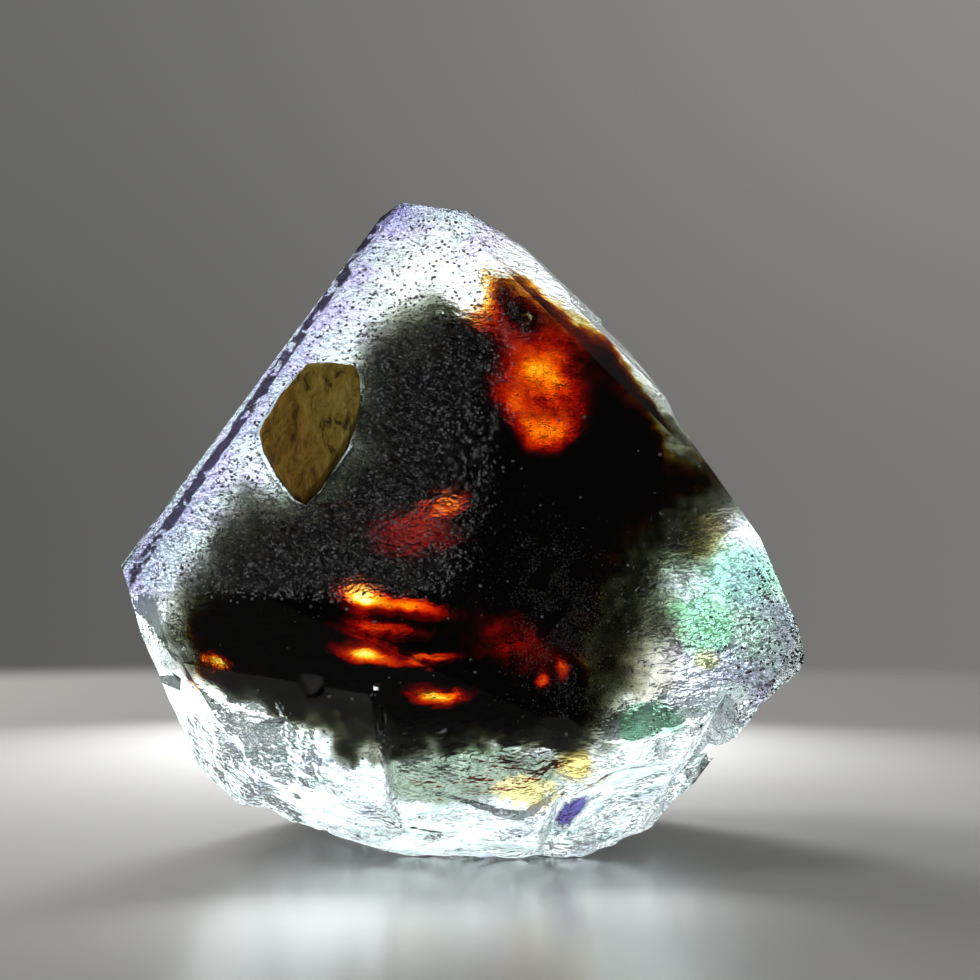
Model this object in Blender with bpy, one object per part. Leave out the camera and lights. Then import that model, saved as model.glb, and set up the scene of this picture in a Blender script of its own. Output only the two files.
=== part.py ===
"""A natural fluorite crystal with a small grain of matrix grown onto it.

The crystal is an octahedron seen with one face toward the viewer. Its lower tip is broken
away, so it stands on the break. Lengths below are in millimetres. X is to the right, Y goes
away from the viewer, Z is up, and the origin is under the middle of the crystal.
"""

import math
import random

import bmesh
import bpy
from mathutils import Matrix, Quaternion, Vector

MM = 0.001

# Driving dimensions
OCTAHEDRAL_TILT = 35.26
HALF_BLANK = 60.0
FRONT_EDGE_Y = -18.5
FRONT_EDGE_Z = 7.7
BACK_EDGE_Y = 18.5
APEX_TOP_Z = 39.2
LEFT_CORNER_X = -20.1
RIGHT_CORNER_X = 20.0

SHORTEST_EDGE = 0.003
GRAIN_GAP = 0.3
SEED = 13

# Each face looks toward a bearing (0 toward the viewer, 90 to the right) and an elevation,
# and passes through one point.
CRYSTAL_FACES = {
    "front_upper": (0.0, OCTAHEDRAL_TILT, (0.0, FRONT_EDGE_Y, FRONT_EDGE_Z)),
    "left_upper": (-90.0, OCTAHEDRAL_TILT, (-19.2, 0.0, 18.7)),
    "right_shoulder": (84.0, 46.0, (11.8, -4.4, 27.6)),
    "right_upper": (90.0, 34.5, (17.0, 0.0, 20.2)),
    "right_flank": (88.0, 22.0, (19.3, -12.0, 14.0)),
    "back_upper": (183.0, 28.0, (-2.0, 5.4, 38.8)),
    "back_upper_left": (-162.0, 33.0, (-9.0, 12.9, 24.0)),
    "apex_front": (4.0, 50.0, (-2.5, 2.3, 37.6)),
    "apex_top": (70.0, 82.0, (-4.3, 4.0, APEX_TOP_Z)),
    "apex_right": (78.0, 58.0, (0.5, 2.0, 37.9)),
    "edge_front_left": (-45.0, 44.0, (-13.3, -6.3, 25.0)),
    "edge_front_right": (42.0, 50.0, (5.3, -1.3, 32.0)),
    "edge_front_right_low": (46.0, 41.0, (16.1, -10.3, 19.3)),
    "edge_back_right": (137.0, 42.0, (15.6, 15.4, 20.0)),
    "edge_back_left": (-137.0, 41.0, (-16.8, 14.9, 20.0)),
    "corner_front_left": (-42.0, 4.0, (-18.9, -11.1, 17.0)),
    "corner_front_left_low": (-58.0, -14.0, (-19.3, -12.0, 13.0)),
    "corner_front_right": (47.0, -6.0, (19.2, -14.8, 12.0)),
    "corner_back_right": (132.0, 2.0, (16.7, 15.4, 14.0)),
    "corner_back_left": (-130.0, -4.0, (-16.9, 14.6, 15.0)),
    "front_band": (-8.0, 20.0, (-10.0, -13.2, 15.2)),
    "right_corner": (89.0, 8.0, (RIGHT_CORNER_X, -8.0, 12.0)),
    "right_corner_low": (87.0, -18.0, (RIGHT_CORNER_X, -8.0, 11.4)),
    "front_lower": (4.0, -36.0, (5.4, FRONT_EDGE_Y, FRONT_EDGE_Z)),
    "front_lower_right": (26.0, -31.0, (14.0, -16.9, 8.7)),
    "left_lower": (-90.0, -19.0, (LEFT_CORNER_X, 0.0, 17.0)),
    "left_lower_front": (-52.0, -30.0, (-14.7, -12.8, 9.0)),
    "right_lower": (88.0, -42.0, (18.9, -8.0, 9.7)),
    "back_lower": (178.0, -15.0, (0.0, BACK_EDGE_Y, 12.5)),
    "back_lower_right": (140.0, -24.0, (14.0, 14.2, 9.0)),
    "back_lower_left": (-136.0, -26.0, (-13.6, 13.2, 9.0)),
    "foot_left": (-94.0, -53.0, (-13.1, 0.0, 3.1)),
    "foot_left_low": (-80.0, -74.0, (-8.6, 0.0, 1.0)),
    "foot_right": (86.0, -50.0, (12.9, 0.0, 2.8)),
    "foot_right_low": (100.0, -76.0, (8.8, 0.0, 1.0)),
    "foot_front": (-6.0, -66.0, (0.0, -12.6, 1.3)),
    "foot_back": (176.0, -52.0, (0.0, 14.8, 4.4)),
    "foot_back_low": (190.0, -72.0, (0.0, 11.0, 1.0)),
    "base": (0.0, -90.0, (0.0, 0.0, 0.0)),
}

# Straight breaks that step into the crystal: each is the space between these planes.
LEDGES = {
    "front_left_break": [
        (-14.0, -20.0, (-8.0, -15.2, 10.8)),
        (-78.0, -12.0, (-4.6, -17.0, 8.0)),
    ],
    "right_edge_step": [
        (90.0, 34.5, (16.5, 0.0, 20.2)),
        (75.0, -38.0, (11.0, -6.0, 27.0)),
    ],
    "shoulder_step": [
        (84.0, 46.0, (11.45, -4.4, 27.6)),
        (60.0, -27.0, (4.6, -1.0, 33.2)),
    ],
    "front_edge_chip": [
        (8.0, -2.0, (4.4, -17.5, 8.0)),
        (40.0, 12.0, (3.0, -17.0, 9.0)),
        (-40.0, -20.0, (6.0, -17.0, 8.0)),
    ],
    "back_cleavage_step": [
        (183.0, 28.0, (-2.0, 4.6, 38.8)),
        (190.0, -44.0, (0.0, 13.0, 21.0)),
    ],
    "back_left_step": [
        (-162.0, 33.0, (-9.0, 10.9, 24.0)),
        (-118.0, -34.0, (-12.0, 10.0, 21.5)),
    ],
}

# Shell-shaped breaks: bearing, elevation, a point on the surface, radius and depth.
SCOOPS = [
    (-34.0, -46.0, (-9.0, -11.0, 2.4), 16.0, 0.8),
    (28.0, -46.0, (9.4, -12.3, 3.4), 9.0, 1.0),
    (60.0, -40.0, (13.6, -9.0, 4.6), 9.0, 0.6),
    (92.0, -38.0, (15.2, 1.0, 5.6), 16.0, 0.8),
    (160.0, -30.0, (7.0, 15.2, 6.6), 18.0, 1.1),
    (-130.0, -30.0, (-13.0, 10.6, 6.6), 15.0, 0.9),
    (-94.0, -24.0, (-16.8, 1.2, 8.0), 20.0, 0.8),
]
SCOOP_SUBDIVISIONS = 4

# Cleavage steps, each a corner split off: how many, the heights they lie between, and the
# ranges of their depth and of how steeply they run out.
STEP_BANDS = [
    (34, (1.0, 9.0), (0.4, 1.1), (0.12, 0.28)),
    (12, (9.5, 17.0), (0.2, 0.5), (0.08, 0.16)),
]
STEP_BACK_ONLY_ABOVE = 9.0
STEP_CORNER = (60.0, 120.0)

# Cleavage chips along the sharp edges: how many, the heights they lie between, and the
# ranges of their size and of how deep they bite.
CHIP_BANDS = [
    (60, (0.5, 10.5), (1.1, 2.6), (0.3, 0.7)),
    (20, (10.5, 19.0), (0.8, 1.7), (0.2, 0.4)),
    (20, (19.0, 38.5), (0.6, 1.5), (0.12, 0.28)),
]
CHIP_STRETCH = (1.7, 0.75, 1.0)
CHIP_TILT = 0.9
CHIP_EDGE_ANGLE = math.radians(24.0)

# Small pits in the front face: X and Z of each, and its radius.
FRONT_PITS = [
    ((3.7, 31.9), 0.42),
    ((-1.6, 32.2), 0.3),
    ((12.8, 16.5), 0.32),
    ((12.1, 13.0), 0.42),
]

# The grain's outline on the front face: X and Z of each corner, going round.
GRAIN_OUTLINE = [
    (-9.5, 28.9),
    (-6.7, 28.9),
    (-6.4, 28.3),
    (-6.3, 26.6),
    (-7.0, 24.4),
    (-8.6, 21.9),
    (-9.4, 21.1),
    (-10.1, 21.4),
    (-11.2, 22.7),
    (-12.1, 24.2),
    (-12.3, 25.0),
    (-11.1, 27.0),
]
GRAIN_MIDDLE = (-9.3, -6.0, 25.3)
GRAIN_REACH = 6.5
GRAIN_THICKNESS = 1.1
GRAIN_SEAT_DEPTH = 0.55
SEAT_MARGIN = 0.35
SEAT_OPENING = 4.0

CRYSTAL_COLOUR = (0.72, 0.80, 0.78, 1.0)
CRYSTAL_ROUGHNESS = 0.15
CRYSTAL_TRANSMISSION = 1.0
FLUORITE_IOR = 1.434
GRAIN_COLOUR = (0.36, 0.25, 0.11, 1.0)
GRAIN_ROUGHNESS = 0.85
GRAIN_TRANSMISSION = 0.0
STONE_IOR = 1.5

# A bend sharper than this many degrees stays a crisp edge.
SHARP_ANGLE = 22.0


def direction(bearing, elevation):
    """Unit vector for a bearing (0 toward the viewer, 90 right) and an elevation."""
    bearing = math.radians(bearing)
    elevation = math.radians(elevation)
    flat = math.cos(elevation)
    return Vector((math.sin(bearing) * flat, -math.cos(bearing) * flat, math.sin(elevation)))


def front_depth(z):
    """Y of the front face at a height."""
    return FRONT_EDGE_Y + (z - FRONT_EDGE_Z) * math.tan(math.radians(OCTAHEDRAL_TILT))


def remove_all_objects():
    for thing in list(bpy.data.objects):
        bpy.data.objects.remove(thing, do_unlink=True)


def slice_away(bm, point, normal):
    """Cut everything beyond a plane off a closed mesh, and close the cut."""
    geometry = bm.verts[:] + bm.edges[:] + bm.faces[:]
    cut = bmesh.ops.bisect_plane(
        bm, geom=geometry, dist=1e-5, plane_co=point, plane_no=normal, clear_outer=True
    )
    rim = [part for part in cut["geom_cut"] if isinstance(part, bmesh.types.BMEdge)]
    if rim:
        bmesh.ops.edgeloop_fill(bm, edges=rim)


def block_within(planes):
    """A closed mesh of what lies on the inner side of every plane."""
    bm = bmesh.new()
    bmesh.ops.create_cube(bm, size=2.0 * HALF_BLANK)
    for normal, point in planes:
        slice_away(bm, point, normal)
    bmesh.ops.recalc_face_normals(bm, faces=bm.faces)
    return bm


def block_beyond(planes):
    """A closed mesh of what lies on the outer side of every plane."""
    return block_within([(-normal, point) for normal, point in planes])


def facing(rows):
    """Planes for rows of bearing, elevation and point."""
    return [(direction(bearing, elevation), Vector(point)) for bearing, elevation, point in rows]


def new_object(name, bm):
    mesh = bpy.data.meshes.new(name)
    bm.to_mesh(mesh)
    bm.free()
    thing = bpy.data.objects.new(name, mesh)
    bpy.context.scene.collection.objects.link(thing)
    return thing


def subtract(body, cutter):
    """Take the cutter's space out of the body and delete the cutter."""
    modifier = body.modifiers.new("cut", "BOOLEAN")
    modifier.operation = "DIFFERENCE"
    modifier.solver = "EXACT"
    modifier.object = cutter
    graph = bpy.context.evaluated_depsgraph_get()
    graph.update()
    cut_mesh = bpy.data.meshes.new_from_object(body.evaluated_get(graph))
    body.modifiers.clear()
    body.data = cut_mesh
    bpy.data.objects.remove(cutter, do_unlink=True)


def scoop_cutter(bearing, elevation, point, radius, depth):
    """A ball whose near side dips into the surface by the depth."""
    centre = Vector(point) + direction(bearing, elevation) * (radius - depth)
    bm = bmesh.new()
    bmesh.ops.create_icosphere(
        bm, subdivisions=SCOOP_SUBDIVISIONS, radius=radius, matrix=Matrix.Translation(centre)
    )
    return new_object("scoop", bm)


def surface_spot(body, bearing, height):
    """Where a level line from the upright middle line leaves the body, and the way out there."""
    outward = direction(bearing, 0.0)
    start = outward * HALF_BLANK + Vector((0.0, 0.0, height))
    hit, place, normal, _ = body.ray_cast(start, -outward)
    return (place, normal) if hit else None


def step_planes(place, normal, depth, run_out, draw):
    """Planes of a split corner: two upright sides, and a floor that rises to the surface."""
    side = normal.orthogonal().normalized()
    side.rotate(Quaternion(normal, draw.uniform(0.0, math.tau)))
    other = side.copy()
    other.rotate(Quaternion(normal, math.radians(draw.uniform(*STEP_CORNER))))
    floor = (normal - (side + other) * run_out).normalized()
    return [(floor, place - normal * depth), (side, place), (other, place)]


def split_steps(body, draw):
    """Cleavage steps, spread by seeded draws around the broken end and the hidden sides."""
    for count, heights, depths, run_outs in STEP_BANDS:
        for index in range(count):
            bearing = 360.0 * (index + draw.random()) / count
            height = draw.uniform(*heights)
            depth = draw.uniform(*depths)
            run_out = draw.uniform(*run_outs)
            in_front = math.cos(math.radians(bearing)) > 0.0
            found = surface_spot(body, bearing, height)
            if found is None or (in_front and height > STEP_BACK_ONLY_ABOVE):
                continue
            planes = step_planes(*found, depth, run_out, draw)
            subtract(body, new_object("step", block_beyond(planes)))


def sharp_edges(body, lowest, highest):
    """Ends and outward direction of each sharp outer edge whose middle lies between heights."""
    bm = bmesh.new()
    bm.from_mesh(body.data)
    bm.normal_update()
    found = []
    for edge in bm.edges:
        middle = (edge.verts[0].co + edge.verts[1].co) / 2.0
        bend = edge.calc_face_angle_signed(0.0)
        if bend > CHIP_EDGE_ANGLE and lowest < middle.z < highest:
            outward = (edge.link_faces[0].normal + edge.link_faces[1].normal).normalized()
            found.append((edge.verts[0].co.copy(), edge.verts[1].co.copy(), outward))
    bm.free()
    return found


def chip_cutter(centre, size, draw):
    """A small angular block, turned by seeded draws."""
    bm = bmesh.new()
    bmesh.ops.create_icosphere(bm, subdivisions=1, radius=size)
    bmesh.ops.scale(bm, verts=bm.verts, vec=CHIP_STRETCH)
    turn = Matrix.Rotation(draw.uniform(0.0, math.tau), 3, "Z")
    turn @= Matrix.Rotation(draw.uniform(-CHIP_TILT, CHIP_TILT), 3, "X")
    turn @= Matrix.Rotation(draw.uniform(-CHIP_TILT, CHIP_TILT), 3, "Y")
    bmesh.ops.rotate(bm, verts=bm.verts, matrix=turn)
    bmesh.ops.translate(bm, verts=bm.verts, vec=centre)
    return new_object("chip", bm)


def beside_grain(spot):
    return (spot - Vector(GRAIN_MIDDLE)).length < GRAIN_REACH


def chip_edges(body, draw):
    """Small cleavage chips, spread by seeded draws along the sharp edges."""
    places = []
    for count, heights, sizes, bites in CHIP_BANDS:
        edges = sharp_edges(body, *heights)
        lengths = [(end - start).length for start, end, _ in edges]
        for start, end, outward in draw.choices(edges, weights=lengths, k=count):
            size = draw.uniform(*sizes)
            spot = start.lerp(end, draw.random())
            bite = draw.uniform(*bites)
            if not beside_grain(spot):
                places.append((spot + outward * (size - bite), size))
    for centre, size in places:
        subtract(body, chip_cutter(centre, size, draw))


def pit_cutter(spot, radius):
    x, z = spot
    centre = Vector((x, front_depth(z), z))
    bm = bmesh.new()
    bmesh.ops.create_icosphere(
        bm, subdivisions=1, radius=radius, matrix=Matrix.Translation(centre)
    )
    return new_object("pit", bm)


def slab_on_front(name, outline, outward, inward, margin=0.0):
    """A slab over an outline on the front face, reaching out of it and into it."""
    normal = direction(0.0, OCTAHEDRAL_TILT)
    middle_x = sum(x for x, z in outline) / len(outline)
    middle_z = sum(z for x, z in outline) / len(outline)
    bm = bmesh.new()
    outer_ring = []
    inner_ring = []
    for x, z in outline:
        away = Vector((x - middle_x, 0.0, z - middle_z)).normalized() * margin
        spot_x = x + away.x
        spot_z = z + away.z
        spot = Vector((spot_x, front_depth(spot_z), spot_z))
        outer_ring.append(bm.verts.new(spot + normal * outward))
        inner_ring.append(bm.verts.new(spot - normal * inward))
    bm.faces.new(outer_ring)
    bm.faces.new(reversed(inner_ring))
    for index in range(len(outline)):
        following = (index + 1) % len(outline)
        bm.faces.new(
            (outer_ring[index], inner_ring[index], inner_ring[following], outer_ring[following])
        )
    bmesh.ops.recalc_face_normals(bm, faces=bm.faces)
    return new_object(name, bm)


def touching_group(start):
    """Every vertex that is joined to the start by edges."""
    group = {start}
    waiting = [start]
    while waiting:
        vertex = waiting.pop()
        for edge in vertex.link_edges:
            neighbour = edge.other_vert(vertex)
            if neighbour not in group:
                group.add(neighbour)
                waiting.append(neighbour)
    return group


def drop_loose_bits(bm):
    """Delete the splinters and bubbles that the cuts left apart from the main body."""
    remaining = set(bm.verts)
    groups = []
    while remaining:
        group = touching_group(next(iter(remaining)))
        remaining -= group
        groups.append(group)
    groups.sort(key=len)
    for group in groups[:-1]:
        bmesh.ops.delete(bm, geom=list(group), context="VERTS")


def triangulate(body):
    bm = bmesh.new()
    bm.from_mesh(body.data)
    drop_loose_bits(bm)
    bmesh.ops.dissolve_degenerate(bm, edges=bm.edges, dist=SHORTEST_EDGE)
    bmesh.ops.triangulate(bm, faces=bm.faces)
    bm.to_mesh(body.data)
    bm.free()


def add_material(thing, name, colour, roughness, transmission, ior):
    material = bpy.data.materials.new(name)
    material.use_nodes = True
    shader = material.node_tree.nodes["Principled BSDF"]
    shader.inputs["Base Color"].default_value = colour
    shader.inputs["Metallic"].default_value = 0.0
    shader.inputs["Roughness"].default_value = roughness
    shader.inputs["Transmission Weight"].default_value = transmission
    shader.inputs["IOR"].default_value = ior
    thing.data.materials.clear()
    thing.data.materials.append(material)


def centre_over_origin(things):
    """Shift the pieces together so that the origin is under the middle of the first one."""
    first_corner = Vector(things[0].bound_box[0])
    last_corner = Vector(things[0].bound_box[6])
    middle = (first_corner + last_corner) / 2.0
    for thing in things:
        thing.data.transform(Matrix.Translation((-middle.x, -middle.y, -first_corner.z)))


def finish(thing):
    """Turn millimetres into metres, and shade the curved breaks smooth."""
    thing.data.transform(Matrix.Scale(MM, 4))
    thing.data.shade_smooth()
    thing.data.set_sharp_from_angle(angle=math.radians(SHARP_ANGLE))


def make_crystal():
    crystal = new_object("fluorite_crystal", block_within(facing(CRYSTAL_FACES.values())))
    for planes in LEDGES.values():
        subtract(crystal, new_object("ledge", block_beyond(facing(planes))))
    for scoop in SCOOPS:
        subtract(crystal, scoop_cutter(*scoop))
    draw = random.Random(SEED)
    split_steps(crystal, draw)
    chip_edges(crystal, draw)
    for pit in FRONT_PITS:
        subtract(crystal, pit_cutter(*pit))
    seat_depth = GRAIN_SEAT_DEPTH + GRAIN_GAP
    subtract(crystal, slab_on_front("seat", GRAIN_OUTLINE, SEAT_OPENING, seat_depth, SEAT_MARGIN))
    triangulate(crystal)
    look = (CRYSTAL_COLOUR, CRYSTAL_ROUGHNESS, CRYSTAL_TRANSMISSION, FLUORITE_IOR)
    add_material(crystal, "fluorite", *look)
    return crystal


def make_grain():
    proud = GRAIN_THICKNESS - GRAIN_SEAT_DEPTH
    grain = slab_on_front("matrix_grain", GRAIN_OUTLINE, proud, GRAIN_SEAT_DEPTH)
    look = (GRAIN_COLOUR, GRAIN_ROUGHNESS, GRAIN_TRANSMISSION, STONE_IOR)
    add_material(grain, "matrix", *look)
    return grain


def main():
    remove_all_objects()
    pieces = [make_crystal(), make_grain()]
    centre_over_origin(pieces)
    for piece in pieces:
        finish(piece)


main()
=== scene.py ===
"""Looks for the fluorite crystal: fine surface, colour zones inside it, light and camera.

Lengths in this script are in millimetres, turned into metres by MM where meshes are made. X is
to the right of the front face, Y goes away from the camera and Z is up.
"""

import math
import random

import bmesh
import bpy
from mathutils import Euler, Matrix, Vector, noise
from mathutils.bvhtree import BVHTree


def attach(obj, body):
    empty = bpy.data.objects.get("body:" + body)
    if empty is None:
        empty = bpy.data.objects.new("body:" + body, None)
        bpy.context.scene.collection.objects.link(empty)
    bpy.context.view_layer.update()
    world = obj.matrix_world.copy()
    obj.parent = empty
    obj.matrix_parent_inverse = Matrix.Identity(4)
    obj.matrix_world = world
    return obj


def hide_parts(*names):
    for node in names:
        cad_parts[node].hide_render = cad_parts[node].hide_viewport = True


MM = 0.001
BODY = "root"

# The front face: it leans back by the tilt, and passes through this point.
FRONT_TILT = math.radians(35.26)
FRONT_POINT_Y = -18.6
FRONT_POINT_Z = 7.7

# Camera
CAMERA_DISTANCE = 200.0
CAMERA_ELEVATION = math.radians(2.5)
CAMERA_TARGET = (1.34, -0.1, 21.3)
LENS = 119.0

FLUORITE_IOR = 1.434
ZONE_IOR = 1.0
LONGEST_EDGE = 0.6
WELD = 0.0005
SHARP_ANGLE = math.radians(24.0)

# The broken lower end is worn: its edges are rounded below this height, and it is lumpy.
WORN_TOP = 9.5
WORN_FULL = 7.0
WORN_ROUNDS = 8
LUMP_HEIGHT = 0.16

# Lines of sight inside the crystal, after the front face has bent them.
SIGHT = Vector((0.0, math.cos(math.radians(11.6)), -math.sin(math.radians(11.6))))


# Small helpers


def smooth(value, low, high):
    """0 below low, 1 above high, and an even rise between them."""
    share = min(max((value - low) / (high - low), 0.0), 1.0)
    return share * share * (3.0 - 2.0 * share)


def on_front(x, z):
    """The point of the front face at a width and a height, in millimetres."""
    return Vector((x, FRONT_POINT_Y + (z - FRONT_POINT_Z) * math.tan(FRONT_TILT), z))


def add_object(name, data):
    thing = bpy.data.objects.new(name, data)
    bpy.context.scene.collection.objects.link(thing)
    return thing


def add_mesh(name, points, faces):
    """A mesh object from points in millimetres."""
    mesh = bpy.data.meshes.new(name)
    mesh.from_pydata([Vector(point) * MM for point in points], [], faces)
    mesh.update()
    return add_object(name, mesh)


# Shader helpers


class Shader:
    """Builds the nodes of one material; every method returns an output socket."""

    def __init__(self, name):
        self.material = bpy.data.materials.new(name)
        self.material.use_nodes = True
        self.tree = self.material.node_tree
        self.surface = self.tree.nodes["Principled BSDF"]
        self.output = self.tree.nodes["Material Output"]
        coordinates = self.tree.nodes.new("ShaderNodeTexCoord")
        scale = self.tree.nodes.new("ShaderNodeVectorMath")
        scale.operation = "SCALE"
        scale.inputs["Scale"].default_value = 1.0 / MM
        self.tree.links.new(coordinates.outputs["Object"], scale.inputs[0])
        self.place = scale.outputs[0]
        self.wobble = self.math("SUBTRACT", self.noise(0.8, 3.0, 0.62), 0.5)

    def put(self, socket, value):
        if isinstance(value, bpy.types.NodeSocket):
            self.tree.links.new(value, socket)
        else:
            socket.default_value = value

    def math(self, operation, first, second=0.0):
        node = self.tree.nodes.new("ShaderNodeMath")
        node.operation = operation
        self.put(node.inputs[0], first)
        self.put(node.inputs[1], second)
        return node.outputs[0]

    def add(self, first, second):
        return self.math("ADD", first, second)

    def times(self, first, second):
        return self.math("MULTIPLY", first, second)

    def inverse(self, value):
        return self.math("SUBTRACT", 1.0, value)

    def rise(self, value, low, high):
        """0 below low, 1 above high. With low above high it falls instead."""
        node = self.tree.nodes.new("ShaderNodeMapRange")
        node.interpolation_type = "SMOOTHSTEP"
        self.put(node.inputs["Value"], value)
        node.inputs["From Min"].default_value = low
        node.inputs["From Max"].default_value = high
        return node.outputs["Result"]

    def noise(self, scale, detail=2.0, roughness=0.5, distortion=0.0, place=None):
        """Noise with this many features per millimetre."""
        node = self.tree.nodes.new("ShaderNodeTexNoise")
        node.inputs["Scale"].default_value = scale
        node.inputs["Detail"].default_value = detail
        node.inputs["Roughness"].default_value = roughness
        node.inputs["Distortion"].default_value = distortion
        self.tree.links.new(place or self.place, node.inputs["Vector"])
        return node.outputs["Fac"]

    def stretched(self, turn, sizes):
        """Coordinates turned and stretched, for textures that run one way."""
        node = self.tree.nodes.new("ShaderNodeMapping")
        node.inputs["Rotation"].default_value = turn
        node.inputs["Scale"].default_value = sizes
        self.tree.links.new(self.place, node.inputs["Vector"])
        return node.outputs["Vector"]

    def along(self, direction, place=None):
        """How far a place lies along a direction, in millimetres."""
        node = self.tree.nodes.new("ShaderNodeVectorMath")
        node.operation = "DOT_PRODUCT"
        self.tree.links.new(place or self.place, node.inputs[0])
        node.inputs[1].default_value = direction
        return node.outputs["Value"]

    def near(self, centre, radii, soft=1.0, turn=0.0, ragged=0.0):
        """1 inside an ellipsoid of these radii, fading to 0 at its rim."""
        mapping = self.tree.nodes.new("ShaderNodeMapping")
        mapping.vector_type = "TEXTURE"
        mapping.inputs["Location"].default_value = centre
        mapping.inputs["Rotation"].default_value = (0.0, turn, 0.0)
        mapping.inputs["Scale"].default_value = radii
        self.tree.links.new(self.place, mapping.inputs["Vector"])
        length = self.tree.nodes.new("ShaderNodeVectorMath")
        length.operation = "LENGTH"
        self.tree.links.new(mapping.outputs["Vector"], length.inputs[0])
        distance = self.add(length.outputs["Value"], self.times(self.wobble, ragged))
        return self.rise(distance, 1.0, 1.0 - soft)

    def mix(self, share, first, second, blend="MIX"):
        node = self.tree.nodes.new("ShaderNodeMix")
        node.data_type = "RGBA"
        node.blend_type = blend
        self.put(node.inputs[0], share)
        for socket, value in ((node.inputs[6], first), (node.inputs[7], second)):
            self.put(socket, value if isinstance(value, bpy.types.NodeSocket) else (*value, 1.0))
        return node.outputs[2]

    def bump(self, height, strength, distance, below=None):
        node = self.tree.nodes.new("ShaderNodeBump")
        self.put(node.inputs["Strength"], strength)
        node.inputs["Distance"].default_value = distance * MM
        self.tree.links.new(height, node.inputs["Height"])
        if below:
            self.tree.links.new(below, node.inputs["Normal"])
        return node.outputs["Normal"]

    def set(self, **values):
        """Set inputs of the surface; underscores in the names stand for spaces."""
        for name, value in values.items():
            self.put(self.surface.inputs[name.replace("_", " ")], value)

    def absorb(self, per_mm):
        """Plain absorption inside the body, per millimetre in red, green and blue."""
        strongest = max(per_mm) * 1.0001
        node = self.tree.nodes.new("ShaderNodeVolumeAbsorption")
        node.inputs["Color"].default_value = (*[1.0 - part / strongest for part in per_mm], 1.0)
        node.inputs["Density"].default_value = strongest / MM
        self.tree.links.new(node.outputs["Volume"], self.output.inputs["Volume"])


# Materials


# Tints near the front of the crystal, as seen on its front: width, height, half length, half
# breadth, turn in degrees, softness, raggedness and colour.
TINTS = [
    (15.0, 15.6, 6.4, 6.2, 0.0, 0.4, 0.8, (0.68, 0.92, 0.66)),
    (15.8, 16.9, 3.6, 2.8, 0.0, 0.6, 0.8, (0.28, 0.80, 0.44)),
    (13.8, 19.2, 2.6, 2.2, -50.0, 0.6, 0.8, (0.36, 0.26, 0.06)),
    (13.3, 14.0, 2.6, 1.8, 10.0, 0.25, 0.5, (0.20, 0.72, 0.27)),
    (13.7, 12.2, 1.2, 0.8, 0.0, 0.6, 0.8, (0.80, 0.78, 0.20)),
    (10.2, 12.4, 3.4, 5.0, 0.0, 0.5, 0.9, (0.20, 0.17, 0.12)),
    (10.4, 9.0, 2.6, 1.2, 0.0, 0.5, 0.8, (0.24, 0.66, 0.34)),
    (0.0, 5.9, 8.2, 2.4, 0.0, 0.35, 0.5, (0.12, 0.16, 0.10)),
    (-12.6, 5.4, 4.4, 2.8, 0.0, 0.6, 0.8, (0.70, 0.88, 0.96)),
    (8.8, 4.4, 4.0, 3.0, 0.0, 0.6, 0.8, (0.74, 0.94, 0.82)),
    (6.4, 6.5, 1.6, 1.5, -40.0, 0.6, 1.2, (0.92, 0.55, 0.07)),
    (3.5, 4.5, 2.4, 1.4, 10.0, 0.6, 1.6, (0.92, 0.62, 0.12)),
    (5.9, 2.9, 2.3, 0.9, -48.0, 0.35, 0.5, (0.02, 0.012, 0.12)),
    # The next two rows paint the rainbow sheen that light makes in a crack: yellow, then red-brown.
    (-9.8, 8.0, 4.4, 1.1, 28.0, 0.6, 0.8, (0.98, 0.70, 0.10)),
    (-8.7, 8.2, 4.0, 0.8, 28.0, 0.6, 0.8, (0.80, 0.24, 0.14)),
    (9.9, 6.0, 1.5, 0.14, 6.0, 0.4, 0.3, (0.03, 0.03, 0.03)),
    (9.3, 8.4, 1.0, 0.7, 0.0, 0.5, 0.8, (0.24, 0.84, 0.36)),
    (-13.4, 24.9, 1.0, 0.8, 0.0, 0.8, 0.8, (0.34, 0.20, 0.90)),
    (-18.9, 17.0, 1.8, 3.2, 0.0, 0.7, 0.8, (0.72, 0.60, 0.95)),
    (17.2, 10.2, 1.8, 1.2, 0.0, 0.7, 0.8, (0.72, 0.52, 0.80)),
    (-3.4, 32.2, 3.6, 2.2, -30.0, 0.7, 0.8, (0.90, 1.0, 0.92)),
    (-11.4, 19.4, 3.6, 1.8, 0.0, 0.7, 1.2, (0.70, 0.60, 0.42)),
    (14.6, 22.8, 1.2, 3.6, -28.0, 0.5, 0.5, (0.20, 0.19, 0.20)),
]
TINT_REACH = 4.5
FRONT_NORMAL = (0.0, -math.cos(FRONT_TILT), math.sin(FRONT_TILT))

# The dark double line along the left edge of the front face.
LEFT_LINE = ((-5.8, 37.7), (-19.0, 17.7))


def off_line(shader, line):
    """Distance from a line across the front, positive to its left."""
    (ax, az), (bx, bz) = line
    length = math.hypot(bx - ax, bz - az)
    across_x = (bz - az) / length
    across_z = (ax - bx) / length
    from_start = shader.along((across_x, 0.0, across_z))
    return shader.math("SUBTRACT", from_start, across_x * ax + across_z * az)


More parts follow.
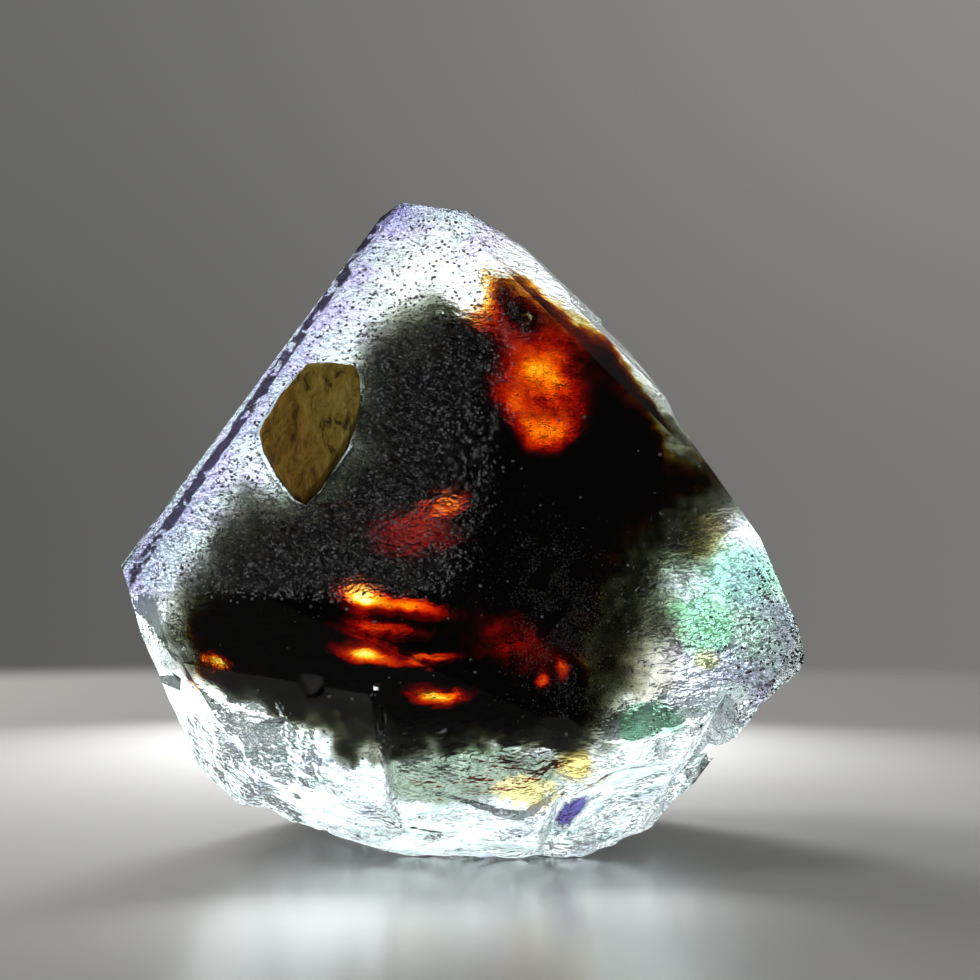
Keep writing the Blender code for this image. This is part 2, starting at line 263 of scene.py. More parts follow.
def crystal_material():
    shader = Shader("fluorite_look")
    x = shader.along((1.0, 0.0, 0.0))
    z = shader.along((0.0, 0.0, 1.0))
    on_face = shader.along(FRONT_NORMAL)
    face_level = Vector(FRONT_NORMAL).dot(on_front(0.0, FRONT_POINT_Z))
    skin = shader.rise(on_face, face_level - 3.6, face_level - 2.0)

    leftward = shader.add(shader.along((-1.0, 0.0, 0.25)), shader.times(shader.wobble, 9.0))
    left = shader.rise(leftward, 2.6, 9.0)
    high = shader.rise(shader.add(z, shader.times(shader.wobble, 1.2)), 15.3, 16.4)
    corner = shader.near((18.3, -9.0, 11.6), (6.4, 16.0, 6.0), 0.5, ragged=1.0)
    broken_corner = shader.near((15.0, -9.0, 14.5), (7.0, 14.0, 8.0), 0.4, ragged=0.8)
    hidden = shader.rise(shader.along((0.0, 1.0, 0.0)), -4.0, 4.0)
    worn = shader.rise(shader.add(z, shader.times(shader.wobble, 3.0)), 9.4, 7.4)
    frost = shader.math("MAXIMUM", shader.times(left, high), broken_corner)
    frost = shader.math("MAXIMUM", frost, shader.times(hidden, 0.5))

    wide = shader.stretched((0.0, 0.35, 0.0), (0.7, 1.0, 1.3))
    foil = shader.noise(1.6, 2.0, 0.6, 0.0, wide)
    crease = shader.math("ABSOLUTE", shader.math("SUBTRACT", foil, 0.5))
    lines = shader.rise(crease, 0.0, 0.05)
    grit = shader.rise(shader.noise(3.4, 2.0, 0.7), 0.42, 0.56)
    slanted = shader.stretched((0.0, -0.6, 0.0), (0.28, 0.6, 1.0))
    streaks = shader.noise(1.7, 2.0, 0.62, 0.0, slanted)
    leaning = shader.stretched((0.0, -0.75, 0.0), (0.45, 0.8, 1.0))
    blotches = shader.noise(0.9, 3.0, 0.66, 0.0, leaning)

    shader.set(Transmission_Weight=1.0, IOR=FLUORITE_IOR)
    rough = shader.math("MAXIMUM", shader.times(frost, 0.2), shader.times(worn, 0.14))
    shader.set(Roughness=shader.add(0.04, rough))
    coarse = shader.bump(blotches, shader.times(worn, 0.6), 0.8)
    strength = shader.add(0.05, shader.times(frost, 0.8))
    fine = shader.noise(5.0, 1.0, 0.6)
    relief = shader.add(foil, shader.times(fine, 0.22))
    shader.set(Normal=shader.bump(relief, strength, 0.55, coarse))

    tint = (0.98, 0.99, 0.985)
    for wx, wz, length, breadth, turn, soft, ragged, colour in TINTS:
        centre = on_front(wx, max(wz, FRONT_POINT_Z))
        if wz < FRONT_POINT_Z:
            centre = Vector((wx, FRONT_POINT_Y + (FRONT_POINT_Z - wz) * 0.75, wz))
        radii = (length, TINT_REACH, breadth)
        mask = shader.near(centre, radii, soft, math.radians(turn), ragged)
        tint = shader.mix(mask, tint, colour)

    edge = off_line(shader, LEFT_LINE)
    edge = shader.add(edge, shader.times(shader.wobble, 0.8))
    band = shader.times(shader.rise(edge, -2.6, -0.6), shader.rise(edge, 0.9, -0.2))
    tint = shader.mix(shader.times(band, shader.times(skin, 0.8)), tint, (0.62, 0.56, 0.95))
    dark = shader.times(shader.rise(edge, -0.42, -0.28), shader.rise(edge, 0.34, 0.20))
    second = shader.times(shader.rise(edge, 0.62, 0.70), shader.rise(edge, 0.92, 0.82))
    dark = shader.math("MAXIMUM", dark, shader.times(second, 0.9))
    broken = shader.rise(shader.wobble, -0.12, -0.05)
    dark = shader.times(shader.times(dark, broken), skin)
    tint = shader.mix(dark, tint, (0.005, 0.003, 0.010))

    # Painted shade: the creases of the frosted skin are painted dark, and the frost gets its cyan and
    # lavender colour. Near the apex this painted crease shade is lifted, so the apex stays bright.
    crease_shade_and_tint = shader.mix(lines, (0.16, 0.16, 0.20), (1.0, 1.0, 1.0))
    drift = shader.noise(0.38, 2.0, 0.6)
    tints = shader.mix(shader.rise(drift, 0.38, 0.62), (0.76, 0.96, 0.98), (0.68, 0.62, 1.0))
    crease_shade_and_tint = shader.mix(1.0, crease_shade_and_tint, tints, "MULTIPLY")
    apex = shader.near((-2.6, -3.0, 33.6), (4.4, 10.0, 4.6), 0.6, ragged=1.0)
    crease_shade_and_tint = shader.mix(shader.times(apex, 0.85), crease_shade_and_tint, (1.0, 1.0, 1.0))
    tint = shader.mix(shader.times(frost, skin), tint, shader.mix(1.0, tint, crease_shade_and_tint, "MULTIPLY"))
    gritty = shader.mix(grit, (0.16, 0.15, 0.14), (1.0, 1.0, 1.0))
    gritted = shader.mix(1.0, tint, gritty, "MULTIPLY")
    tint = shader.mix(shader.times(corner, 0.85), tint, gritted)
    # Painted shade on the broken lower end: darker grey-green patches and darker streaks stand in for its
    # shade; the violet patches are its colour.
    shade_and_violet_patches = shader.mix(shader.rise(blotches, 0.36, 0.50), (0.48, 0.62, 0.58), (1.0, 1.0, 1.0))
    violet = shader.rise(drift, 0.52, 0.66)
    shade_and_violet_patches = shader.mix(shader.times(violet, 0.6), shade_and_violet_patches, (0.72, 0.70, 0.95))
    shade_streaks = shader.mix(shader.rise(streaks, 0.30, 0.42), (0.60, 0.66, 0.68), (1.0, 1.0, 1.0))
    shaded = shader.mix(1.0, shader.mix(1.0, tint, shade_and_violet_patches, "MULTIPLY"), shade_streaks, "MULTIPLY")
    tint = shader.mix(worn, tint, shaded)
    veins = shader.math("ABSOLUTE", shader.math("SUBTRACT", shader.noise(0.5, 2.0, 0.6), 0.5))
    edges = shader.rise(veins, 0.0, 0.022)
    cracked = shader.mix(edges, (0.10, 0.12, 0.09), (1.0, 1.0, 1.0))
    green = shader.near((13.4, -10.0, 11.0), (6.4, 9.0, 8.5), 0.3, ragged=0.8)
    tint = shader.mix(green, tint, shader.mix(1.0, tint, cracked, "MULTIPLY"))
    shader.set(Base_Color=tint)
    shader.absorb((0.006, 0.003, 0.0035))
    return shader.material


def zone_material(name, per_mm):
    shader = Shader(name)
    shader.set(Transmission_Weight=1.0, IOR=ZONE_IOR, Roughness=0.0)
    shader.set(Base_Color=(1.0, 1.0, 1.0, 1.0))
    shader.absorb(per_mm)
    return shader.material


def grain_material():
    shader = Shader("matrix_look")
    slanted = shader.stretched((0.0, 0.9, 0.0), (1.0, 0.6, 0.22))
    streaks = shader.noise(1.6, 5.0, 0.65, 0.8, slanted)
    # Painted shade and light: left of the ridge the grain is painted darker as its shaded facet, right of
    # it paler as its lit facet.
    right = shader.rise(shader.add(shader.along((1.0, 0.0, 0.35)), shader.wobble), -1.0, 0.4)
    colour = shader.mix(right, (0.20, 0.100, 0.010), (0.32, 0.21, 0.025))
    pale = shader.mix(right, (0.40, 0.23, 0.035), (0.50, 0.37, 0.08))
    colour = shader.mix(shader.rise(streaks, 0.38, 0.66), colour, pale)
    colour = shader.mix(shader.rise(streaks, 0.44, 0.36), colour, (0.09, 0.045, 0.015))
    shader.set(Base_Color=colour, Roughness=0.75, Specular_IOR_Level=0.2)
    grainy = shader.add(shader.noise(4.0, 5.0, 0.7), streaks)
    shader.set(Normal=shader.bump(grainy, 0.8, 0.3))
    return shader.material


def floor_material():
    shader = Shader("floor_look")
    shader.set(Base_Color=(0.50, 0.485, 0.46, 1.0), Roughness=0.24, IOR=1.6)
    from_middle = shader.tree.nodes.new("ShaderNodeVectorMath")
    from_middle.operation = "DISTANCE"
    shader.tree.links.new(shader.place, from_middle.inputs[0])
    from_middle.inputs[1].default_value = (0.0, FLOOR_MIDDLE_Y, 0.0)
    fade = shader.rise(from_middle.outputs["Value"], FLOOR_FADE_END, FLOOR_FADE_START)
    shader.set(Alpha=fade)
    return shader.material


# The crystal


def finer_copy(name, source, longest):
    """A copy of a mesh whose edges are halved, longest first, until none is too long."""
    mesh = bpy.data.meshes.new(name)
    bm = bmesh.new()
    for vertex in source.data.vertices:
        bm.verts.new(vertex.co)
    bm.verts.ensure_lookup_table()
    for face in source.data.polygons:
        bm.faces.new([bm.verts[index] for index in face.vertices])
    bmesh.ops.remove_doubles(bm, verts=bm.verts, dist=WELD * MM)
    bmesh.ops.triangulate(bm, faces=bm.faces)
    limit = longest * MM
    while True:
        long_edges = [edge for edge in bm.edges if edge.calc_length() > limit]
        if not long_edges:
            break
        long_edges.sort(key=lambda edge: -edge.calc_length())
        halve_edges(bm, long_edges)
    bm.to_mesh(mesh)
    bm.free()
    return add_object(name, mesh)


def halve_edges(bm, edges):
    """Split each edge in the middle, and its two faces with it."""
    touched = set()
    for edge in edges:
        if any(face in touched for face in edge.link_faces):
            continue
        opposite = [
            (face, next(vertex for vertex in face.verts if vertex not in edge.verts))
            for face in edge.link_faces
        ]
        _, middle = bmesh.utils.edge_split(edge, edge.verts[0], 0.5)
        for face, vertex in opposite:
            new_face, _ = bmesh.utils.face_split(face, middle, vertex)
            touched.update((face, new_face))


def wear_lower_end(mesh):
    """Round the edges of the broken end and give it small lumps."""
    bm = bmesh.new()
    bm.from_mesh(mesh)
    shares = [1.0 - smooth(vertex.co.z / MM, WORN_FULL, WORN_TOP) for vertex in bm.verts]
    for _ in range(WORN_ROUNDS):
        moved = []
        for vertex, share in zip(bm.verts, shares):
            around = [edge.other_vert(vertex).co for edge in vertex.link_edges]
            middle = sum(around, Vector()) / len(around)
            moved.append(vertex.co.lerp(middle, 0.5 * share))
        for vertex, place in zip(bm.verts, moved):
            vertex.co = place
    bm.normal_update()
    for vertex, share in zip(bm.verts, shares):
        place = vertex.co / MM
        lump = noise.fractal(place * 0.9, 1.0, 2.0, 4) * LUMP_HEIGHT * share
        vertex.co += vertex.normal * lump * MM
        vertex.co.z = max(vertex.co.z, 0.0)
    bm.to_mesh(mesh)
    bm.free()


def make_crystal(frame):
    crystal = finer_copy("crystal_surface", frame["nodes"]["fluorite_crystal"], LONGEST_EDGE)
    wear_lower_end(crystal.data)
    crystal.data.shade_smooth()
    crystal.data.set_sharp_from_angle(angle=SHARP_ANGLE)
    crystal.data.materials.clear()
    crystal.data.materials.append(crystal_material())
    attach(crystal, BODY)
    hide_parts("fluorite_crystal")
    return crystal


# The dark zone inside the crystal

# Its outline as seen on the front face: width and height of each corner, in millimetres.
ZONE_OUTLINE = [
    (-0.4, 36.8), (5.6, 34.8), (9.6, 31.6), (12.6, 27.2), (15.2, 23.0), (16.0, 20.5),
    (12.4, 18.8), (9.8, 16.4), (8.8, 13.3), (8.2, 8.8), (6.5, 7.4), (1.9, 7.0),
    (-1.5, 7.0), (-4.8, 7.6), (-9.4, 9.2), (-13.1, 10.2), (-17.0, 11.0), (-17.8, 14.8),
    (-14.9, 17.2), (-12.2, 21.1), (-9.9, 21.1), (-6.4, 24.6), (-6.2, 28.7), (-2.3, 32.4),
    (-1.1, 33.6),
]

# Thin places that glow: width, height, half length, half breadth, turn in degrees, and how
# much of the thickness is left in the middle.
WINDOWS = [
    (4.0, 29.4, 3.8, 2.4, 20.0, 0.26),
    (4.6, 28.4, 2.0, 1.6, 20.0, 0.36),
    (5.6, 26.8, 3.2, 2.6, 40.0, 0.34),
    (2.9, 26.2, 2.8, 1.5, -55.0, 0.26),
    (5.0, 24.9, 2.4, 1.4, 30.0, 0.24),
    (1.4, 31.8, 2.8, 1.4, -40.0, 0.30),
    (-0.1, 33.6, 2.2, 1.8, -40.0, 0.14),
    (-1.6, 20.6, 2.6, 1.1, 15.0, 0.30),
    (-1.2, 20.8, 1.3, 0.6, 15.0, 0.20),
    (-3.3, 18.9, 4.2, 1.6, -5.0, 0.30),
    (-6.2, 15.5, 2.0, 1.1, -6.0, 0.03),
    (-3.4, 15.0, 3.2, 0.7, -6.0, 0.12),
    (-5.0, 13.9, 4.2, 0.6, -5.0, 0.26),
    (-5.9, 12.8, 2.6, 0.8, -4.0, 0.025),
    (-2.5, 12.2, 3.0, 0.5, -4.0, 0.16),
    (-1.7, 10.5, 2.8, 0.7, -3.0, 0.04),
    (-14.4, 12.6, 1.1, 0.45, -12.0, 0.08),
    (2.6, 13.0, 4.4, 2.6, -20.0, 0.44),
    (4.6, 10.9, 0.6, 0.5, 30.0, 0.22),
    (5.6, 11.6, 0.5, 0.7, 0.0, 0.26),
]
ZONE_STEP = 0.2
ZONE_THINNEST = 0.012
ZONE_CLEARANCE = 0.7
SKIN_CLEARANCE = 0.5
LOW_EDGE_SHARE = 0.3
WINDOW_WANDER = 0.45
WOBBLE_SEED = 3
APPROACH = 12.0

# The red zone: depth behind the front face, thickness, how far inside the outline it starts,
# and width of its thinning edge.
RED_ZONE = (2.8, 7.0, 1.2, 3.4)
RED_ABSORPTION = (1.0, 3.1, 10.0)

# The smoky zone in front of it lies further left and lower, and its windows are quite clear.
SMOKY_OUTLINE = [
    (-1.4, 34.2), (2.2, 34.9), (6.4, 32.9), (10.2, 29.6), (14.0, 25.6), (17.4, 21.2),
    (14.4, 17.8), (12.4, 15.0), (11.4, 12.0), (9.4, 8.4), (8.0, 7.5), (1.6, 7.5), (-3.0, 7.6),
    (-6.9, 7.9), (-12.9, 10.4), (-14.3, 11.1), (-17.4, 12.2), (-18.0, 15.6), (-16.6, 18.4), (-13.4, 22.4),
    (-10.4, 22.0), (-7.9, 25.0), (-7.8, 29.5), (-3.8, 33.4),
]
SMOKY_ZONE = (1.3, 1.9, -0.3, 3.6)
SMOKY_ABSORPTION = (3.0, 3.0, 3.5)


def distance_inside(x, z, outline):
    """Distance from a place to the outline, positive inside it."""
    inside = False
    nearest = 1e9
    for index, (ax, az) in enumerate(outline):
        bx, bz = outline[index - 1]
        if (az > z) != (bz > z) and x < (bx - ax) * (z - az) / (bz - az) + ax:
            inside = not inside
        span_x, span_z = bx - ax, bz - az
        share = ((x - ax) * span_x + (z - az) * span_z) / (span_x ** 2 + span_z ** 2)
        share = min(max(share, 0.0), 1.0)
        nearest = min(nearest, math.hypot(x - ax - share * span_x, z - az - share * span_z))
    return nearest if inside else -nearest


def window_share(x, z, window):
    """How much of the thickness a glowing window leaves at a place."""
    middle_x, middle_z, half_length, half_breadth, turn, left = window
    angle = math.radians(turn)
    along = (x - middle_x) * math.cos(angle) + (z - middle_z) * math.sin(angle)
    across = (z - middle_z) * math.cos(angle) - (x - middle_x) * math.sin(angle)
    distance = math.hypot(along / half_length, across / half_breadth)
    return left + (1.0 - left) * smooth(distance, 0.1, 1.45)


def zone_thickness(x, z, outline, build, clear_windows):
    _, thickness, start, edge = build
    wobble = noise.noise_vector(Vector((x * 0.45, z * 0.45, 1.7))) * 0.9
    wobble += noise.noise_vector(Vector((x * 1.5, z * 1.5, 5.1))) * 0.35
    warped_x, warped_z = x + wobble.x, z + wobble.y
    edge *= LOW_EDGE_SHARE + (1.0 - LOW_EDGE_SHARE) * max(smooth(z, 8.5, 15.0), smooth(x, 5.0, 9.0))
    share = smooth(distance_inside(warped_x, warped_z, outline) - start, 0.0, edge)
    for window in WINDOWS:
        left = window_share(x + wobble.x * WINDOW_WANDER, z + wobble.y * WINDOW_WANDER, window)
        share *= smooth(left, 0.42, 0.95) if clear_windows else left
    grain = noise.fractal(Vector((x * 1.2, z * 1.2, 9.0)), 1.0, 2.0, 3)
    return thickness * share * (1.0 + 0.35 * grain)


def make_zone(name, tree, outline, build, absorption, clear_windows):
    """A closed sheet of varying thickness behind the front face."""
    depth = build[0]
    columns = int(36.0 / ZONE_STEP)
    rows = int(32.0 / ZONE_STEP)
    points = []
    place_of = {}
    for row in range(rows + 1):
        for column in range(columns + 1):
            x = -18.5 + column * ZONE_STEP
            z = 6.5 + row * ZONE_STEP
            thickness = zone_thickness(x, z, outline, build, clear_windows)
            if thickness < ZONE_THINNEST:
                continue
            skin = tree.ray_cast((on_front(x, z) - SIGHT * APPROACH) * MM, SIGHT)[3]
            if skin is None:
                continue
            below_skin = skin / MM - APPROACH + SKIN_CLEARANCE
            front = on_front(x, z) + SIGHT * max(depth, below_skin)
            _, normal, _, room = tree.ray_cast(front * MM, SIGHT)
            if normal is None or normal.dot(SIGHT) < 0.0:
                continue
            thickness = min(thickness, room / MM - ZONE_CLEARANCE)
            if thickness < ZONE_THINNEST:
                continue
            place_of[column, row] = len(points)
            points.append(front)
            points.append(front + SIGHT * thickness)
    faces = []
    edge_uses = {}
    for column, row in list(place_of):
        ring = [(column, row), (column + 1, row), (column + 1, row + 1), (column, row + 1)]
        if not all(key in place_of for key in ring):
            continue
        corners = [place_of[key] for key in ring]
        faces.append(corners)
        faces.append([corner + 1 for corner in reversed(corners)])
        for start, end in zip(corners, corners[1:] + corners[:1]):
            edge_uses[start, end] = True
    for start, end in edge_uses:
        if (end, start) not in edge_uses:
            faces.append((end, start, start + 1, end + 1))
    zone = add_mesh(name, points, faces)
    zone.data.shade_smooth()
    zone.data.materials.append(zone_material(name + "_look", absorption))
    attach(zone, BODY)
    return zone


# Frost: small flakes on the surface

FLAKE_COUNT = 40000
FLAKE_SIZES = (0.04, 0.13)
FLAKE_SEED = 4
FLAKE_CORNERS = [(1, 0, 0), (0, 1, 0), (-1, 0, 0), (0, -1, 0), (0, 0, 0.7), (0, 0, -0.7)]
FLAKE_FACES = [(0, 1, 4), (1, 2, 4), (2, 3, 4), (3, 0, 4), (1, 0, 5), (2, 1, 5), (3, 2, 5), (0, 3, 5)]


def clear_of_left_line(x, z):
    """0 on the dark line along the left edge, 1 away from it."""
    (ax, az), (bx, bz) = LEFT_LINE
    distance = ((bz - az) * (x - ax) - (bx - ax) * (z - az)) / math.hypot(bx - ax, bz - az)
    return smooth(abs(distance), 0.4, 1.0)


def flake_share(place):
    """How thickly the flakes lie at a place, from 0 to 1."""
    x, y, z = place
    wobble = noise.noise(place * 0.5)
    on_left = smooth(-x + 0.2 * z + 3.0 * wobble, 2.0, 9.0) * smooth(z, 15.0, 16.5)
    right_corner = smooth(x - 0.4 * abs(z - 11.5) + 2.0 * wobble, 12.5, 16.5) * smooth(z, 7.0, 8.5)
    return 0.02 + 0.98 * max(on_left, right_corner) * clear_of_left_line(x, z)


def flake_material():
    shader = Shader("frost_flake_look")
    pale = shader.noise(0.9, 2.0)
    colour = shader.mix(shader.rise(pale, 0.35, 0.65), (0.05, 0.045, 0.04), (0.20, 0.20, 0.22))
    shader.set(Base_Color=colour, Roughness=0.3)
    return shader.material


def make_flakes(surface):
    """Scatter flakes over the surface by seeded draws."""
    draw = random.Random(FLAKE_SEED)
    polygons = surface.data.polygons
    picks = draw.choices(range(len(polygons)), weights=[face.area for face in polygons], k=FLAKE_COUNT)
    points = []
    faces = []
    for pick in picks:
        corners = [surface.data.vertices[index].co / MM for index in polygons[pick].vertices]
        shares = [draw.random() for _ in corners]
        place = sum((corner * share for corner, share in zip(corners, shares)), Vector())
        place /= sum(shares)
        size = draw.uniform(*FLAKE_SIZES)
        stretch = draw.uniform(0.5, 1.3)
        turn = draw.uniform(0.0, math.tau)
        if draw.random() > flake_share(place) or place.z < 0.3:
            continue
        upright = polygons[pick].normal.to_track_quat("Z", "Y").to_matrix()
        upright @= Matrix.Rotation(turn, 3, "Z")
        add_flake(points, faces, place, upright, (size, size * stretch, size * 0.5))
    flakes = add_mesh("frost_flakes", points, faces)
    flakes.data.materials.append(flake_material())
    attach(flakes, BODY)


# Specks inside the crystal, in front of the dark zone

# Clouds of them: width, height, half length, half breadth, how many, and their colour.
CLOUDS = [
    (6.0, 13.2, 3.6, 4.8, 4200, (0.110, 0.080, 0.062)),
    (4.4, 17.0, 2.0, 2.6, 1200, (0.050, 0.060, 0.044)),
    (-4.0, 19.0, 5.2, 3.4, 2400, (0.150, 0.100, 0.040)),
    (-9.0, 19.2, 5.4, 3.0, 3200, (0.170, 0.140, 0.090)),
    (-3.0, 28.6, 3.0, 4.4, 1100, (0.070, 0.070, 0.064)),
]
CLOUD_DEPTHS = (0.5, 1.1)
SPECK_SIZES = (0.03, 0.07)
SPECK_CLEARANCE = 0.15
SPECK_SEED = 7

# Single bluish-white flecks: width and height.
FLECKS = [(-2.6, 28.2), (4.3, 20.8), (11.1, 21.5), (6.8, 19.5), (5.1, 18.3), (9.4, 17.4), (3.2, 22.9)]
FLECK_SIZE = 0.10
FLECK_COLOUR = (0.45, 0.50, 0.60)


def add_flake(points, faces, place, upright, sizes):
    base = len(points)
    for corner in FLAKE_CORNERS:
        local = Vector([part * size for part, size in zip(corner, sizes)])
        points.append(place + upright @ local)
    faces.extend([tuple(base + index for index in face) for face in FLAKE_FACES])


def speck_material(name, colour):
    shader = Shader(name)
    uneven = shader.mix(shader.noise(1.2, 3.0), (0.4, 0.4, 0.4), (1.6, 1.6, 1.6))
    shader.set(Base_Color=shader.mix(1.0, colour, uneven, "MULTIPLY"), Roughness=0.6)
    return shader.material


def make_specks(name, spots, colour):
    """Small solid flakes at places inside the crystal, each with its size."""
    draw = random.Random(SPECK_SEED)
    points = []
    faces = []
    for place, size in spots:
        turns = [draw.uniform(0.0, math.tau) for _ in range(3)]
        upright = Euler(turns).to_matrix()
        add_flake(points, faces, place, upright, (size, size * 0.8, size * 0.4))
    specks = add_mesh(name, points, faces)
    specks.data.materials.append(speck_material(name + "_look", colour))
    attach(specks, BODY)


def is_inside(tree, place):
    """Whether a place lies inside the crystal, clear of its skin."""
    on_skin, normal, _, _ = tree.find_nearest(place * MM)
    return (place * MM - on_skin).dot(normal) < -SPECK_CLEARANCE * MM


def make_clouds(tree):
    draw = random.Random(SPECK_SEED)
    for number, (x, z, half_length, half_breadth, count, colour) in enumerate(CLOUDS):
        spots = []
        for _ in range(count):
            place = on_front(draw.gauss(x, half_length * 0.5), draw.gauss(z, half_breadth * 0.5))
            place += SIGHT * draw.uniform(*CLOUD_DEPTHS)
            size = draw.uniform(*SPECK_SIZES)
            if noise.noise(place * 0.8) > -0.1 and is_inside(tree, place):
                spots.append((place, size))
        make_specks(f"speck_cloud_{number + 1}", spots, colour)
    flecks = [(on_front(x, z) + SIGHT * CLOUD_DEPTHS[0], FLECK_SIZE) for x, z in FLECKS]
    make_specks("pale_flecks", flecks, FLECK_COLOUR)


# The grain

GRAIN_EDGE = 0.35


def shape_grain(mesh):
    """Give the grain an uneven, faceted face with rounded rims."""
    bm = bmesh.new()
    bm.from_mesh(mesh)
    outward = Vector(FRONT_NORMAL)
    level = outward.dot(on_front(0.0, FRONT_POINT_Z))
    proud = [smooth(outward.dot(vertex.co / MM) - level, 0.1, 0.5) for vertex in bm.verts]
    for _ in range(3):
        moved = []
        for vertex, share in zip(bm.verts, proud):
            around = [edge.other_vert(vertex).co for edge in vertex.link_edges]
            moved.append(vertex.co.lerp(sum(around, Vector()) / len(around), 0.4 * share))
        for vertex, place in zip(bm.verts, moved):
            vertex.co = place
    for vertex, share in zip(bm.verts, proud):
        place = vertex.co / MM
        ridge = -abs((place.x + 9.2) * 0.8 + (place.z - 25.5) * 0.25) * 0.10
        rough = noise.fractal(place * 1.3, 1.0, 2.0, 4) * 0.12
        vertex.co += outward * (ridge + rough + 0.12) * share * MM
    bm.to_mesh(mesh)
    bm.free()


def make_grain(frame):
    grain = finer_copy("grain_surface", frame["nodes"]["matrix_grain"], GRAIN_EDGE)
    shape_grain(grain.data)
    grain.data.materials.clear()
    grain.data.materials.append(grain_material())
    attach(grain, BODY)
    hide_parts("matrix_grain")
    return grain


# Surroundings

FLOOR_RADIUS = 216.0
FLOOR_MIDDLE_Y = -100.0
FLOOR_FADE_START = 194.0
FLOOR_FADE_END = 212.0
WORLD_DARK = (0.125, 0.124, 0.117)
WORLD_LIGHT = (0.232, 0.229, 0.220)
WORLD_LOW_SHARE = 0.84
WORLD_HIGH_SHARE = 1.12
WORLD_ZENITH_SHARE = 0.2


def make_floor():
    corners = 96
    ring = [
        (
            FLOOR_RADIUS * math.cos(math.tau * index / corners),
            FLOOR_RADIUS * math.sin(math.tau * index / corners) + FLOOR_MIDDLE_Y,
            0.0,
        )
        for index in range(corners)
    ]
    floor = add_mesh("floor", ring, [range(corners)])
    floor.data.materials.append(floor_material())


def set_world():
    world = bpy.data.worlds.new("room")
    world.use_nodes = True
    nodes = world.node_tree.nodes
    links = world.node_tree.links
    coordinates = nodes.new("ShaderNodeTexCoord")
    split = nodes.new("ShaderNodeSeparateXYZ")
    links.new(coordinates.outputs["Generated"], split.inputs[0])


    def span(value, low, high, least, most):
        node = nodes.new("ShaderNodeMapRange")
        node.interpolation_type = "SMOOTHSTEP"
        for key, number in (("From Min", low), ("From Max", high), ("To Min", least), ("To Max", most)):
            node.inputs[key].default_value = number
        links.new(value, node.inputs["Value"])
        return node.outputs["Result"]

    grey = nodes.new("ShaderNodeMix")
    grey.data_type = "RGBA"
    grey.inputs[6].default_value = (*WORLD_DARK, 1.0)
    grey.inputs[7].default_value = (*WORLD_LIGHT, 1.0)
    links.new(span(split.outputs["X"], -0.2, 0.2, 0.0, 1.0), grey.inputs[0])
    links.new(grey.outputs[2], nodes["Background"].inputs["Color"])
    share = nodes.new("ShaderNodeMath")
    share.operation = "MULTIPLY"
    height = split.outputs["Z"]
    links.new(span(height, -0.06, 0.12, WORLD_LOW_SHARE, WORLD_HIGH_SHARE), share.inputs[0])
    links.new(span(height, 0.3, 0.85, 1.0, WORLD_ZENITH_SHARE), share.inputs[1])
    links.new(share.outputs[0], nodes["Background"].inputs["Strength"])
    bpy.context.scene.world = world


def add_lamp(name, place, target, size, power, colour=(1.0, 1.0, 1.0)):
    """A square lamp that only the camera doesn't see, aimed at a target."""
    light = bpy.data.lights.new(name, "AREA")
    light.size = size * MM
    light.energy = power
    light.color = colour
    lamp = add_object(name, light)
    lamp.location = Vector(place) * MM
    aim = (Vector(target) - Vector(place)).to_track_quat("-Z", "Y")
    lamp.rotation_mode = "QUATERNION"
    lamp.rotation_quaternion = aim
    lamp.visible_camera = False
    return lamp


def light_matt_things_only(lamp):
    lamp.visible_glossy = False
    lamp.visible_transmission = False


def add_glow(name, place, target, sizes, brightness, colour):
    """A bright panel that is seen only through the crystal."""
    area = sizes[0] * sizes[1] * MM * MM
    lamp = add_lamp(name, place, target, sizes[0], brightness * math.pi * area, colour)
    lamp.data.shape = "RECTANGLE"
    lamp.data.size_y = sizes[1] * MM
    lamp.visible_diffuse = False
    lamp.visible_glossy = False


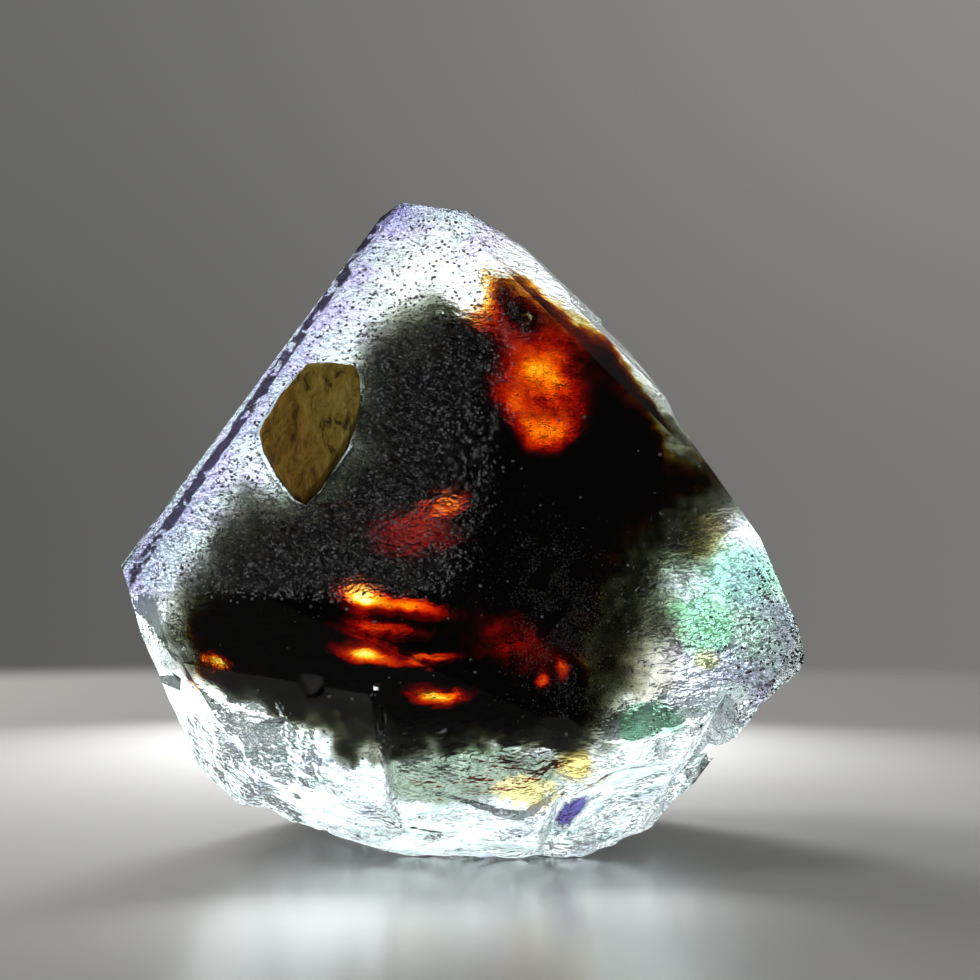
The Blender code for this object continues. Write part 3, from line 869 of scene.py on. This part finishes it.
def set_lamps():
    middle = (0.0, 0.0, 16.0)
    cold = (0.93, 0.96, 1.0)
    white = (1.0, 1.0, 1.0)
    add_glow("glow_floor", (0.0, 46.0, 0.6), (0.0, 45.9, 20.0), (80.0, 56.0), 2.5, cold)
    add_glow("glow_behind", (0.0, 78.0, 30.0), (0.0, 0.0, 18.0), (120.0, 62.0), 2.1, cold)
    add_glow("glow_left", (-80.0, 0.0, 20.0), middle, (80.0, 40.0), 1.2, cold)
    add_glow("glow_right", (80.0, 0.0, 20.0), middle, (80.0, 40.0), 1.2, cold)
    add_glow("glow_before", (0.0, -86.0, 34.0), (0.0, 0.0, 18.0), (130.0, 62.0), 0.5, white)
    add_glow("glow_front", (0.0, -60.0, 0.6), (0.0, -59.9, 20.0), (90.0, 50.0), 0.9, white)
    add_lamp("soft_top", (-76.0, -60.0, 190.0), middle, 90.0, 0.08, cold)
    side = add_lamp("side_left", (-90.0, -10.0, 30.0), middle, 60.0, 0.03, cold)
    side.visible_glossy = False
    torch = add_lamp("floor_light", (-3.0, 64.0, 23.0), (-3.0, 5.0, 2.0), 15.0, 0.062, cold)
    torch.data.spread = math.radians(140.0)
    light_matt_things_only(torch)
    far_left = add_lamp("far_floor_light", (-90.0, 100.0, 110.0), (-58.0, 66.0, 0.0), 60.0, 0.18)
    light_matt_things_only(far_left)
    through = add_lamp("light_through", (-7.0, -20.0, 16.0), (-8.5, -36.0, 0.0), 4.0, 0.0010, cold)
    through.data.spread = math.radians(80.0)
    light_matt_things_only(through)
    through = add_lamp("light_through_right", (8.5, -19.0, 12.0), (10.0, -31.0, 0.0), 3.0, 0.0004, cold)
    through.data.spread = math.radians(80.0)
    light_matt_things_only(through)


def set_camera():
    data = bpy.data.cameras.new("camera")
    data.lens = LENS
    data.clip_start = 0.005
    camera = add_object("camera", data)
    outward = Vector((0.0, -math.cos(CAMERA_ELEVATION), math.sin(CAMERA_ELEVATION)))
    distance = CAMERA_DISTANCE / math.cos(CAMERA_ELEVATION)
    camera.location = (Vector(CAMERA_TARGET) + outward * distance) * MM
    camera.rotation_mode = "QUATERNION"
    camera.rotation_quaternion = (-outward).to_track_quat("-Z", "Y")
    bpy.context.scene.camera = camera


def set_rendering():
    scene = bpy.context.scene
    scene.view_settings.view_transform = "Standard"
    scene.cycles.max_bounces = 8
    scene.cycles.transmission_bounces = 8
    scene.cycles.glossy_bounces = 4
    scene.cycles.diffuse_bounces = 2
    scene.cycles.transparent_max_bounces = 8
    scene.cycles.sample_clamp_indirect = 6.0


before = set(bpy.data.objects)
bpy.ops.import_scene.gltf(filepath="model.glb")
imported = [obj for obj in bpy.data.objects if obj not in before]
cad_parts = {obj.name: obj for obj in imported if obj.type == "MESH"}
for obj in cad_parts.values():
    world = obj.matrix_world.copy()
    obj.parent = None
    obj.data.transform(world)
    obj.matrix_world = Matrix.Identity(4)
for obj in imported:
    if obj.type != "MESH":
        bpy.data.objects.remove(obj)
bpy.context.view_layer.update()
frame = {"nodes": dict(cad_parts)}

set_world()
set_camera()
set_rendering()
make_floor()
set_lamps()

crystal = make_crystal(frame)
crystal_tree = BVHTree.FromPolygons(
    [vertex.co for vertex in crystal.data.vertices],
    [tuple(face.vertices) for face in crystal.data.polygons],
)
noise.seed_set(WOBBLE_SEED)
make_zone("dark_zone", crystal_tree, ZONE_OUTLINE, RED_ZONE, RED_ABSORPTION, False)
make_zone("smoky_zone", crystal_tree, SMOKY_OUTLINE, SMOKY_ZONE, SMOKY_ABSORPTION, True)
make_flakes(crystal)
make_clouds(crystal_tree)
make_grain(frame)
